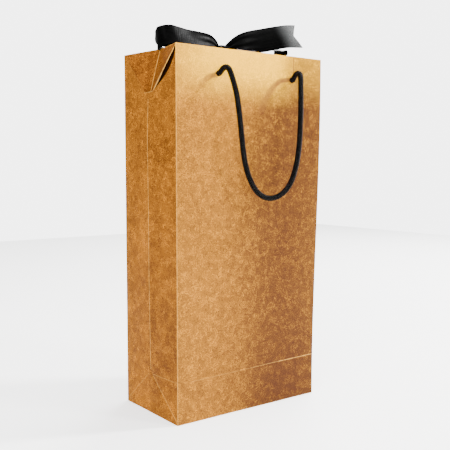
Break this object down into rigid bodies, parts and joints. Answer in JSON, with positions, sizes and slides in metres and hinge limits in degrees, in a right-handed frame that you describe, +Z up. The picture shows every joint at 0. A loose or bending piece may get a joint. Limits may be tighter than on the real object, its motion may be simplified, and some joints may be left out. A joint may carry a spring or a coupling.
{
  "type": "wine gift bag",
  "caption": "Tall two-bottle paper gift bag with cord handles front and back, folded gusset tucks, a loose card base and a ribbon bow tied over the mouth.",
  "frame": {"origin": "centre of the flat base, at the surface it stands on", "axes": "+X along the width, +Y from the front panel to the back panel, +Z up"},
  "size_m": [0.194, 0.1538, 0.4125],
  "materials": {
    "paper": "coated, mottled leather look, slight sheen",
    "paper_inside": "matt",
    "board": "matt greyboard",
    "cord": "braided, matt",
    "ribbon": "satin"
  },
  "bodies": {
    "bag": {"back_bottom_flap": "paper", "back_left_cord_end": "cord", "back_left_knot": "cord", "back_panel": "paper", "back_ribbon_leg": "ribbon", "back_right_cord_end": "cord", "back_right_knot": "cord", "back_stiffening_strip": "board", "back_turn_in": "paper_inside", "bow_knot": "ribbon", "front_bottom_flap": "paper", "front_left_cord_end": "cord", "front_left_knot": "cord", "front_panel": "paper", "front_ribbon_leg": "ribbon", "front_right_cord_end": "cord", "front_right_knot": "cord", "front_stiffening_strip": "board", "front_turn_in": "paper_inside", "left_bottom_flap": "paper", "left_bow_loop": "ribbon", "left_bow_tail": "ribbon", "left_gusset": "paper", "left_gusset_turn_in": "paper_inside", "right_bottom_flap": "paper", "right_bow_loop": "ribbon", "right_bow_tail": "ribbon", "right_gusset": "paper", "right_gusset_turn_in": "paper_inside", "seam_tab": "paper_inside"},
    "front_shoulders": {"front_left_shoulder": "cord", "front_right_shoulder": "cord"},
    "back_shoulders": {"back_left_shoulder": "cord", "back_right_shoulder": "cord"},
    "front_handle": {"front_handle": "cord"},
    "back_handle": {"back_handle": "cord"},
    "base_card": {"base_card": "board"},
    "left_tuck_rear": {"left_tuck_rear": "paper"},
    "left_tuck_front": {"left_tuck_front": "paper"},
    "right_tuck_rear": {"right_tuck_rear": "paper"},
    "right_tuck_front": {"right_tuck_front": "paper"}
  },
  "joints": [
    {"name": "front_shoulder_lift", "type": "hinge", "parent": "bag", "child": "front_shoulders", "pos_m": [0.007, -0.0531, 0.345], "axis": [-1, 0, 0], "range_deg": [0, 40]},
    {"name": "front_handle_swing", "type": "hinge", "parent": "front_shoulders", "child": "front_handle", "pos_m": [0.007, -0.0692, 0.3436], "axis": [-1, 0, 0], "range_deg": [0, 110]},
    {"name": "back_shoulder_lift", "type": "hinge", "parent": "bag", "child": "back_shoulders", "pos_m": [0.007, 0.0531, 0.345], "axis": [1, 0, 0], "range_deg": [0, 40]},
    {"name": "back_handle_swing", "type": "hinge", "parent": "back_shoulders", "child": "back_handle", "pos_m": [0.007, 0.0692, 0.3436], "axis": [1, 0, 0], "range_deg": [0, 110]},
    {"name": "base_card_lift", "type": "slide", "parent": "bag", "child": "base_card", "axis": [0, 0, 1], "range_m": [0, 0.3]},
    {"name": "left_tuck_rear_fold", "type": "hinge", "parent": "bag", "child": "left_tuck_rear", "pos_m": [-0.09, 0.008, 0.328], "axis": [0, 0.7071, 0.7071], "range_deg": [0, 12]},
    {"name": "left_tuck_front_fold", "type": "hinge", "parent": "left_tuck_rear", "child": "left_tuck_front", "pos_m": [-0.08808, 0, 0.328], "axis": [-0.2334, 0, -0.9724], "range_deg": [0, 20]},
    {"name": "right_tuck_rear_fold", "type": "hinge", "parent": "bag", "child": "right_tuck_rear", "pos_m": [0.09, 0.008, 0.328], "axis": [0, -0.7071, -0.7071], "range_deg": [0, 12]},
    {"name": "right_tuck_front_fold", "type": "hinge", "parent": "right_tuck_rear", "child": "right_tuck_front", "pos_m": [0.08808, 0, 0.328], "axis": [-0.2334, 0, 0.9724], "range_deg": [0, 20]}
  ],
  "couplings": [
    {"joint": "front_shoulder_lift", "follows": "front_handle_swing", "ratio": 0.33},
    {"joint": "back_shoulder_lift", "follows": "back_handle_swing", "ratio": 0.33},
    {"joint": "left_tuck_front_fold", "follows": "left_tuck_rear_fold", "ratio": 1.22},
    {"joint": "right_tuck_front_fold", "follows": "right_tuck_rear_fold", "ratio": 1.22}
  ]
}
